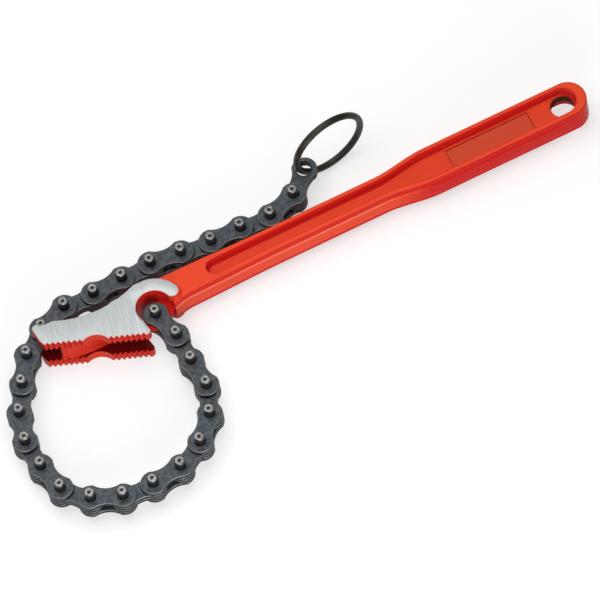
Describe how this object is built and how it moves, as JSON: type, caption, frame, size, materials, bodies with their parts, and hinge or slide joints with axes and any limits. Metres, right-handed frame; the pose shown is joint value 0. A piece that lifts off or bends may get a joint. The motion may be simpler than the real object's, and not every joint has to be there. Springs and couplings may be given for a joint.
{
  "type": "chain pipe wrench",
  "caption": "Forged chain pipe wrench: ribbed handle with hang hole, double toothed jaw, leaf chain looped from the anchor pin over the nose, and pull ring.",
  "frame": {"origin": "centre of the hang hole, in the middle of the handle's thickness", "axes": "+X along the handle to the jaw, +Y to the toothed side, +Z through the thickness, along the link pins"},
  "size_m": [0.331, 0.1355, 0.0427],
  "materials": {
    "red_paint": "semi-gloss orange-red enamel, cheek faces ground bright",
    "chain_steel": "dark oiled steel with lighter worn edges",
    "pin_steel": "bright turned pin ends, dark shafts",
    "black_ring": "blackened wire, satin"
  },
  "bodies": {
    "handle": {"grip_forging": "red_paint", "shank_forging": "red_paint", "jaw_forging": "red_paint"},
    "link_01": {"outer_plates_01": "chain_steel", "link_pins_01": "pin_steel"},
    "link_02": {"inner_plates_01": "chain_steel"},
    "link_03": {"outer_plates_02": "chain_steel", "link_pins_02": "pin_steel"},
    "link_04": {"inner_plates_02": "chain_steel"},
    "link_05": {"outer_plates_03": "chain_steel", "link_pins_03": "pin_steel"},
    "link_06": {"inner_plates_03": "chain_steel"},
    "link_07": {"outer_plates_04": "chain_steel", "link_pins_04": "pin_steel"},
    "link_08": {"inner_plates_04": "chain_steel"},
    "link_09": {"outer_plates_05": "chain_steel", "link_pins_05": "pin_steel"},
    "link_10": {"inner_plates_05": "chain_steel"},
    "link_11": {"outer_plates_06": "chain_steel", "link_pins_06": "pin_steel"},
    "link_12": {"inner_plates_06": "chain_steel"},
    "link_13": {"outer_plates_07": "chain_steel", "link_pins_07": "pin_steel"},
    "link_14": {"inner_plates_07": "chain_steel"},
    "link_15": {"outer_plates_08": "chain_steel", "link_pins_08": "pin_steel"},
    "link_16": {"inner_plates_08": "chain_steel"},
    "link_17": {"outer_plates_09": "chain_steel", "link_pins_09": "pin_steel"},
    "link_18": {"inner_plates_09": "chain_steel"},
    "link_19": {"outer_plates_10": "chain_steel", "link_pins_10": "pin_steel"},
    "link_20": {"inner_plates_10": "chain_steel"},
    "link_21": {"outer_plates_11": "chain_steel", "link_pins_11": "pin_steel"},
    "link_22": {"inner_plates_11": "chain_steel"},
    "link_23": {"outer_plates_12": "chain_steel", "link_pins_12": "pin_steel"},
    "link_24": {"inner_plates_12": "chain_steel"},
    "link_25": {"outer_plates_13": "chain_steel", "link_pins_13": "pin_steel"},
    "link_26": {"inner_plates_13": "chain_steel"},
    "ring": {"pull_ring": "black_ring"}
  },
  "joints": [
    {"name": "anchor_hinge", "type": "hinge", "parent": "handle", "child": "link_01", "pos_m": [0.226, 0.008, 0], "axis": [0, 0, -1], "range_deg": [0, 36]},
    {"name": "loop_hinge_02", "type": "hinge", "parent": "link_01", "child": "link_02", "pos_m": [0.22202, 0.02337, 0], "axis": [0, 0, 1], "range_deg": [0, 0.73]},
    {"name": "loop_hinge_03", "type": "hinge", "parent": "link_02", "child": "link_03", "pos_m": [0.22161, 0.03924, 0], "axis": [0, 0, 1], "range_deg": [0, 0.73]},
    {"name": "loop_hinge_04", "type": "hinge", "parent": "link_03", "child": "link_04", "pos_m": [0.22092, 0.0551, 0], "axis": [0, 0, 1], "range_deg": [0, 0.73]},
    {"name": "loop_hinge_05", "type": "hinge", "parent": "link_04", "child": "link_05", "pos_m": [0.22623, 0.07006, 0], "axis": [0, 0, 1], "range_deg": [0, 0.73]},
    {"name": "loop_hinge_06", "type": "hinge", "parent": "link_05", "child": "link_06", "pos_m": [0.23698, 0.08175, 0], "axis": [0, 0, 1], "range_deg": [0, 0.73]},
    {"name": "loop_hinge_07", "type": "hinge", "parent": "link_06", "child": "link_07", "pos_m": [0.25107, 0.08905, 0], "axis": [0, 0, 1], "range_deg": [0, 0.73]},
    {"name": "loop_hinge_08", "type": "hinge", "parent": "link_07", "child": "link_08", "pos_m": [0.26682, 0.09108, 0], "axis": [0, 0, 1], "range_deg": [0, 0.73]},
    {"name": "loop_hinge_09", "type": "hinge", "parent": "link_08", "child": "link_09", "pos_m": [0.28266, 0.09007, 0], "axis": [0, 0, 1], "range_deg": [0, 1.09]},
    {"name": "loop_hinge_10", "type": "hinge", "parent": "link_09", "child": "link_10", "pos_m": [0.29708, 0.08343, 0], "axis": [0, 0, 1], "range_deg": [0, 1.45]},
    {"name": "loop_hinge_11", "type": "hinge", "parent": "link_10", "child": "link_11", "pos_m": [0.30776, 0.07168, 0], "axis": [0, 0, 1], "range_deg": [0, 2.89]},
    {"name": "loop_hinge_12", "type": "hinge", "parent": "link_11", "child": "link_12", "pos_m": [0.31112, 0.05617, 0], "axis": [0, 0, 1], "range_deg": [0, 5.41]},
    {"name": "loop_hinge_13", "type": "hinge", "parent": "link_12", "child": "link_13", "pos_m": [0.31201, 0.04032, 0], "axis": [0, 0, 1], "range_deg": [0, 10.81]},
    {"name": "loop_hinge_14", "type": "hinge", "parent": "link_13", "child": "link_14", "pos_m": [0.30795, 0.02497, 0], "axis": [0, 0, 1], "range_deg": [0, 18.01]},
    {"name": "loop_hinge_15", "type": "hinge", "parent": "link_14", "child": "link_15", "pos_m": [0.30004, 0.0112, 0], "axis": [0, 0, 1], "range_deg": [0, 28.81]},
    {"name": "loop_hinge_16", "type": "hinge", "parent": "link_15", "child": "link_16", "pos_m": [0.2912, -0.00198, 0], "axis": [0, 0, 1], "range_deg": [0, 50.41]},
    {"name": "tail_hinge_17", "type": "hinge", "parent": "link_16", "child": "link_17", "pos_m": [0.27854, -0.01156, 0], "axis": [0, 0, 1], "range_deg": [0, 60]},
    {"name": "tail_hinge_18", "type": "hinge", "parent": "link_17", "child": "link_18", "pos_m": [0.26378, -0.0174, 0], "axis": [0, 0, 1], "range_deg": [0, 25]},
    {"name": "tail_hinge_19", "type": "hinge", "parent": "link_18", "child": "link_19", "pos_m": [0.24791, -0.01701, 0], "axis": [0, 0, 1], "range_deg": [0, 25]},
    {"name": "tail_hinge_20", "type": "hinge", "parent": "link_19", "child": "link_20", "pos_m": [0.23206, -0.018, 0], "axis": [0, 0, 1], "range_deg": [0, 25]},
    {"name": "tail_hinge_21", "type": "hinge", "parent": "link_20", "child": "link_21", "pos_m": [0.21621, -0.01871, 0], "axis": [0, 0, 1], "range_deg": [0, 25]},
    {"name": "tail_hinge_22", "type": "hinge", "parent": "link_21", "child": "link_22", "pos_m": [0.20043, -0.01694, 0], "axis": [0, 0, 1], "range_deg": [0, 25]},
    {"name": "tail_hinge_23", "type": "hinge", "parent": "link_22", "child": "link_23", "pos_m": [0.18465, -0.01516, 0], "axis": [0, 0, 1], "range_deg": [0, 25]},
    {"name": "tail_hinge_24", "type": "hinge", "parent": "link_23", "child": "link_24", "pos_m": [0.16878, -0.01505, 0], "axis": [0, 0, 1], "range_deg": [0, 25]},
    {"name": "tail_hinge_25", "type": "hinge", "parent": "link_24", "child": "link_25", "pos_m": [0.15293, -0.0141, 0], "axis": [0, 0, 1], "range_deg": [0, 25]},
    {"name": "tail_hinge_26", "type": "hinge", "parent": "link_25", "child": "link_26", "pos_m": [0.13789, -0.01916, 0], "axis": [0, 0, 1], "range_deg": [0, 12]},
    {"name": "ring_swivel", "type": "hinge", "parent": "link_26", "child": "ring", "pos_m": [0.12677, -0.0305, 0], "axis": [0, 0, 1], "range_deg": [-30, 60]}
  ],
  "couplings": [
    {"joint": "loop_hinge_02", "follows": "anchor_hinge", "ratio": 0.02},
    {"joint": "loop_hinge_03", "follows": "anchor_hinge", "ratio": 0.02},
    {"joint": "loop_hinge_04", "follows": "anchor_hinge", "ratio": 0.02},
    {"joint": "loop_hinge_05", "follows": "anchor_hinge", "ratio": 0.02},
    {"joint": "loop_hinge_06", "follows": "anchor_hinge", "ratio": 0.02},
    {"joint": "loop_hinge_07", "follows": "anchor_hinge", "ratio": 0.02},
    {"joint": "loop_hinge_08", "follows": "anchor_hinge", "ratio": 0.02},
    {"joint": "loop_hinge_09", "follows": "anchor_hinge", "ratio": 0.03},
    {"joint": "loop_hinge_10", "follows": "anchor_hinge", "ratio": 0.04},
    {"joint": "loop_hinge_11", "follows": "anchor_hinge", "ratio": 0.08},
    {"joint": "loop_hinge_12", "follows": "anchor_hinge", "ratio": 0.15},
    {"joint": "loop_hinge_13", "follows": "anchor_hinge", "ratio": 0.3},
    {"joint": "loop_hinge_14", "follows": "anchor_hinge", "ratio": 0.5},
    {"joint": "loop_hinge_15", "follows": "anchor_hinge", "ratio": 0.8},
    {"joint": "loop_hinge_16", "follows": "anchor_hinge", "ratio": 1.4}
  ]
}
